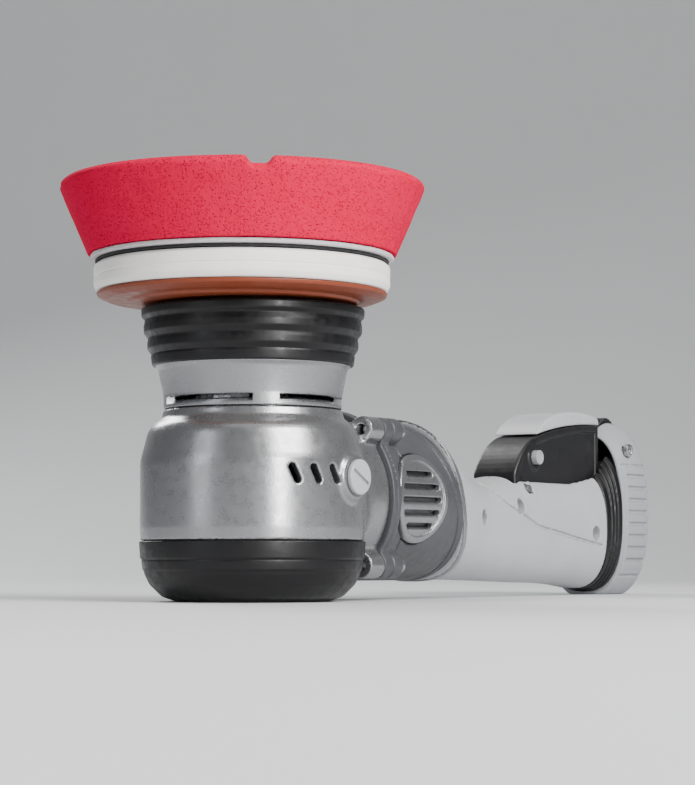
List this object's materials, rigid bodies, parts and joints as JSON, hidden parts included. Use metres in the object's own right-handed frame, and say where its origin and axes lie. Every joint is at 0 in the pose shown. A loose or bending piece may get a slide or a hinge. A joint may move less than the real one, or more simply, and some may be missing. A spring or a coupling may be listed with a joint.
{
  "type": "dual-action car polisher",
  "caption": "Dual-action machine polisher, stored upside down: red foam pad on an eccentric backing plate, ribbed shroud, cast head, motor housing and rear grip with a paddle trigger.",
  "frame": {"origin": "on the spindle axis, on the flat of the palm cap that the upturned head rests on", "axes": "+X from the head to the tail of the grip, +Z along the spindle towards the working face of the pad, +Y to the left of the tool seen from its tail, with the pad up"},
  "size_m": [0.398, 0.15, 0.171],
  "materials": {
    "foam_red": "open-cell foam, red",
    "loop_white": "brushed nylon loop, off-white",
    "hook_black": "moulded hook-and-loop hooks, black",
    "cushion_white": "moulded microcellular cushion, white",
    "plate_orange": "moulded polyurethane, rust orange",
    "nylon_black": "glass-filled nylon, black, fine spark texture",
    "steel": "ground or zinc-plated steel",
    "rubber_black": "thermoplastic rubber, black, matt",
    "rubber_grey": "thermoplastic rubber, light grey, matt",
    "silver_paint": "die-cast, painted satin silver",
    "shell_grey": "glass-filled nylon, light grey, satin",
    "dark_grey": "glass-filled nylon, anthracite, satin",
    "lamination": "stacked steel laminations",
    "copper": "copper and brass",
    "carbon": "pressed carbon",
    "board_green": "glass-fibre circuit board, green"
  },
  "bodies": {
    "casing": {"gear_housing": "silver_paint", "head_cap": "rubber_black", "bearing_plate": "silver_paint", "shroud": "rubber_black", "spindle_bearing_output": "steel", "spindle_bearing_inner": "steel", "side_handle_plug_left": "nylon_black", "side_handle_plug_right": "nylon_black", "motor_bearing_front": "steel", "motor_bearing_rear": "steel", "stator": "lamination", "motor_flange": "dark_grey", "motor_housing": "dark_grey", "vent_cover_left": "silver_paint", "vent_cover_right": "silver_paint", "flange_screw_1": "steel", "flange_screw_2": "steel", "flange_screw_3": "steel", "flange_screw_4": "steel", "brush_bridge": "nylon_black", "brush_holder_left": "copper", "brush_holder_right": "copper", "carbon_brush_left": "carbon", "carbon_brush_right": "carbon", "handle_shell_left": "shell_grey", "handle_shell_right": "shell_grey", "shell_screw_1": "steel", "shell_screw_2": "steel", "shell_screw_3": "steel", "grip_collar": "rubber_black", "tail_bumper": "rubber_grey", "trigger_pin": "steel", "cable_gland": "nylon_black", "switch_module": "nylon_black", "speed_board": "board_green", "dial_potentiometer": "nylon_black", "tail_screw_left": "steel", "tail_screw_right": "steel"},
    "backing_plate": {"foam_pad": "foam_red", "pad_loop_backing": "loop_white", "hook_disc": "hook_black", "plate_cushion": "cushion_white", "plate_body": "plate_orange", "plate_hub": "nylon_black", "plate_bolt": "steel", "output_shaft": "steel"},
    "spindle": {"spindle_shaft": "steel", "crown_gear": "steel", "counterweight": "steel", "eccentric_bearing": "steel"},
    "armature": {"armature_shaft": "steel", "pinion_gear": "steel", "cooling_fan": "nylon_black", "armature_core": "lamination", "commutator": "copper"},
    "trigger": {"trigger": "nylon_black", "trigger_finger_plate": "shell_grey"},
    "lock_button": {"lock_button": "rubber_grey"},
    "speed_dial": {"speed_dial": "nylon_black"}
  },
  "joints": [
    {"name": "spindle_spin", "type": "hinge", "parent": "casing", "child": "spindle", "pos_m": [0, 0, 0.09], "axis": [0, 0, 1], "continuous": true},
    {"name": "plate_spin", "type": "hinge", "parent": "spindle", "child": "backing_plate", "pos_m": [-0.0075, 0, 0.1], "axis": [0, 0, 1], "continuous": true},
    {"name": "armature_spin", "type": "hinge", "parent": "casing", "child": "armature", "pos_m": [0.08, 0, 0.043], "axis": [1, 0, 0], "continuous": true},
    {"name": "trigger_press", "type": "hinge", "parent": "casing", "child": "trigger", "pos_m": [0.197, 0, 0.05], "axis": [0, 1, 0], "range_deg": [0, 5], "stiffness_Nm_per_rad": 1.5, "springref_deg": -4.58},
    {"name": "lock_press", "type": "slide", "parent": "trigger", "child": "lock_button", "axis": [0, 1, 0], "range_m": [0, 0.0024], "stiffness_N_per_m": 250, "springref_m": -0.002},
    {"name": "dial_turn", "type": "hinge", "parent": "casing", "child": "speed_dial", "pos_m": [0.296, 0, 0.0785], "axis": [0, 1, 0], "range_deg": [0, 280]}
  ],
  "couplings": [
    {"joint": "armature_spin", "follows": "spindle_spin", "ratio": -4}
  ]
}
